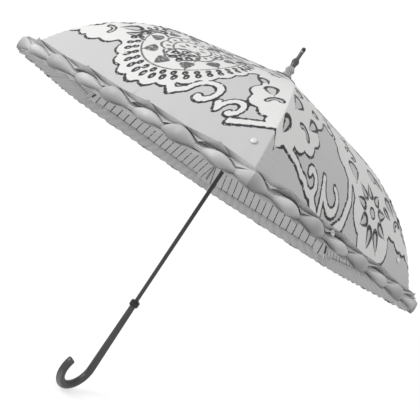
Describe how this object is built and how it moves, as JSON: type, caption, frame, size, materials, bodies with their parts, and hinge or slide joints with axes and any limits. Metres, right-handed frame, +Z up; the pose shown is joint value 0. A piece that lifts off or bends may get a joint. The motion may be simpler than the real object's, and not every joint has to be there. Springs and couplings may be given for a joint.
{
  "type": "lace parasol",
  "caption": "Open lace parasol with a ribbed folding frame, sliding runner, ruffled hem, beaded ferrule and crook handle.",
  "frame": {"origin": "on the shaft's axis at the middle of the straight grip, where the hand holds it", "axes": "+Z up the shaft to the ferrule; -Y towards the rib in front; the crook reaches towards -X and -Y"},
  "size_m": [0.6998, 0.77, 0.7382],
  "materials": {
    "shaft_metal": "satin dark grey lacquer on a steel tube",
    "handle_dark": "satin dark grey lacquer",
    "collar_black": "polished black",
    "black_plastic": "moulded black nylon",
    "bright_wire": "drawn steel",
    "rib_steel": "black lacquer on fluted steel",
    "rib_tip_nickel": "nickel plate",
    "canopy_lace": "pale grey sheer ground with white corded lace outlined in charcoal",
    "ruffle_satin": "silver grey satin",
    "frill_organza": "grey pleated organza",
    "ferrule_grey": "turned, dark grey lacquer"
  },
  "bodies": {
    "frame": {"shaft": "shaft_metal", "crook_handle": "handle_dark", "crook_end_cap": "handle_dark", "handle_collar": "collar_black", "crown": "black_plastic", "crown_wire": "bright_wire", "crown_washer": "bright_wire", "apex_patch": "canopy_lace", "ferrule_rosette": "ruffle_satin", "ferrule": "ferrule_grey", "ferrule_tip_ring": "bright_wire", "ferrule_tip": "collar_black", "stop_pin": "bright_wire"},
    "runner": {"runner": "black_plastic"},
    "upper_catch": {"upper_catch": "bright_wire"},
    "lower_catch": {"lower_catch": "bright_wire"},
    "rib_1": {"rib_1": "rib_steel", "rib_tip_1": "rib_tip_nickel", "canopy_1": "canopy_lace", "hem_ruffle_1": "ruffle_satin", "hem_frill_1": "frill_organza"},
    "stretcher_1": {"stretcher_1": "rib_steel", "stretcher_pins_1": "bright_wire"},
    "rib_2": {"rib_2": "rib_steel", "rib_tip_2": "rib_tip_nickel", "canopy_2": "canopy_lace", "hem_ruffle_2": "ruffle_satin", "hem_frill_2": "frill_organza"},
    "stretcher_2": {"stretcher_2": "rib_steel", "stretcher_pins_2": "bright_wire"},
    "rib_3": {"rib_3": "rib_steel", "rib_tip_3": "rib_tip_nickel", "canopy_3": "canopy_lace", "hem_ruffle_3": "ruffle_satin", "hem_frill_3": "frill_organza"},
    "stretcher_3": {"stretcher_3": "rib_steel", "stretcher_pins_3": "bright_wire"},
    "rib_4": {"rib_4": "rib_steel", "rib_tip_4": "rib_tip_nickel", "canopy_4": "canopy_lace", "hem_ruffle_4": "ruffle_satin", "hem_frill_4": "frill_organza"},
    "stretcher_4": {"stretcher_4": "rib_steel", "stretcher_pins_4": "bright_wire"},
    "rib_5": {"rib_5": "rib_steel", "rib_tip_5": "rib_tip_nickel", "canopy_5": "canopy_lace", "hem_ruffle_5": "ruffle_satin", "hem_frill_5": "frill_organza"},
    "stretcher_5": {"stretcher_5": "rib_steel", "stretcher_pins_5": "bright_wire"},
    "rib_6": {"rib_6": "rib_steel", "rib_tip_6": "rib_tip_nickel", "canopy_6": "canopy_lace", "hem_ruffle_6": "ruffle_satin", "hem_frill_6": "frill_organza"},
    "stretcher_6": {"stretcher_6": "rib_steel", "stretcher_pins_6": "bright_wire"}
  },
  "joints": [
    {"name": "runner_slide", "type": "slide", "parent": "frame", "child": "runner", "axis": [0, 0, -1], "range_m": [0, 0.21462]},
    {"name": "upper_catch_press", "type": "slide", "parent": "frame", "child": "upper_catch", "axis": [0.5, -0.866, 0], "range_m": [0, 0.002], "stiffness_N_per_m": 600, "springref_m": -0.001},
    {"name": "lower_catch_press", "type": "slide", "parent": "frame", "child": "lower_catch", "axis": [0.5, -0.866, 0], "range_m": [0, 0.002], "stiffness_N_per_m": 600, "springref_m": -0.001},
    {"name": "rib_1_fold", "type": "hinge", "parent": "frame", "child": "rib_1", "pos_m": [0.00866, 0.005, 0.5595], "axis": [-0.5, 0.866, 0], "range_deg": [0, 55.01], "deforming": ["canopy_1", "hem_ruffle_1", "hem_frill_1"]},
    {"name": "stretcher_1_fold", "type": "hinge", "parent": "rib_1", "child": "stretcher_1", "pos_m": [0.14863, 0.08581, 0.50067], "axis": [-0.5, 0.866, 0], "range_deg": [-110.02, 0]},
    {"name": "rib_2_fold", "type": "hinge", "parent": "frame", "child": "rib_2", "pos_m": [0, 0.01, 0.5595], "axis": [-1, 0, 0], "range_deg": [0, 55.01], "deforming": ["canopy_2", "hem_ruffle_2", "hem_frill_2"]},
    {"name": "stretcher_2_fold", "type": "hinge", "parent": "rib_2", "child": "stretcher_2", "pos_m": [0, 0.17163, 0.50067], "axis": [-1, 0, 0], "range_deg": [-110.02, 0]},
    {"name": "rib_3_fold", "type": "hinge", "parent": "frame", "child": "rib_3", "pos_m": [-0.00866, 0.005, 0.5595], "axis": [-0.5, -0.866, 0], "range_deg": [0, 55.01], "deforming": ["canopy_3", "hem_ruffle_3", "hem_frill_3"]},
    {"name": "stretcher_3_fold", "type": "hinge", "parent": "rib_3", "child": "stretcher_3", "pos_m": [-0.14863, 0.08581, 0.50067], "axis": [-0.5, -0.866, 0], "range_deg": [-110.02, 0]},
    {"name": "rib_4_fold", "type": "hinge", "parent": "frame", "child": "rib_4", "pos_m": [-0.00866, -0.005, 0.5595], "axis": [0.5, -0.866, 0], "range_deg": [0, 55.01], "deforming": ["canopy_4", "hem_ruffle_4", "hem_frill_4"]},
    {"name": "stretcher_4_fold", "type": "hinge", "parent": "rib_4", "child": "stretcher_4", "pos_m": [-0.14863, -0.08581, 0.50067], "axis": [0.5, -0.866, 0], "range_deg": [-110.02, 0]},
    {"name": "rib_5_fold", "type": "hinge", "parent": "frame", "child": "rib_5", "pos_m": [0, -0.01, 0.5595], "axis": [1, 0, 0], "range_deg": [0, 55.01], "deforming": ["canopy_5", "hem_ruffle_5", "hem_frill_5"]},
    {"name": "stretcher_5_fold", "type": "hinge", "parent": "rib_5", "child": "stretcher_5", "pos_m": [0, -0.17163, 0.50067], "axis": [1, 0, 0], "range_deg": [-110.02, 0]},
    {"name": "rib_6_fold", "type": "hinge", "parent": "frame", "child": "rib_6", "pos_m": [0.00866, -0.005, 0.5595], "axis": [0.5, 0.866, 0], "range_deg": [0, 55.01], "deforming": ["canopy_6", "hem_ruffle_6", "hem_frill_6"]},
    {"name": "stretcher_6_fold", "type": "hinge", "parent": "rib_6", "child": "stretcher_6", "pos_m": [0.14863, -0.08581, 0.50067], "axis": [0.5, 0.866, 0], "range_deg": [-110.02, 0]}
  ],
  "couplings": [
    {"joint": "rib_1_fold", "follows": "runner_slide", "rad_per_m": 4.4726},
    {"joint": "stretcher_1_fold", "follows": "runner_slide", "rad_per_m": -8.9453},
    {"joint": "rib_2_fold", "follows": "runner_slide", "rad_per_m": 4.4726},
    {"joint": "stretcher_2_fold", "follows": "runner_slide", "rad_per_m": -8.9453},
    {"joint": "rib_3_fold", "follows": "runner_slide", "rad_per_m": 4.4726},
    {"joint": "stretcher_3_fold", "follows": "runner_slide", "rad_per_m": -8.9453},
    {"joint": "rib_4_fold", "follows": "runner_slide", "rad_per_m": 4.4726},
    {"joint": "stretcher_4_fold", "follows": "runner_slide", "rad_per_m": -8.9453},
    {"joint": "rib_5_fold", "follows": "runner_slide", "rad_per_m": 4.4726},
    {"joint": "stretcher_5_fold", "follows": "runner_slide", "rad_per_m": -8.9453},
    {"joint": "rib_6_fold", "follows": "runner_slide", "rad_per_m": 4.4726},
    {"joint": "stretcher_6_fold", "follows": "runner_slide", "rad_per_m": -8.9453}
  ]
}
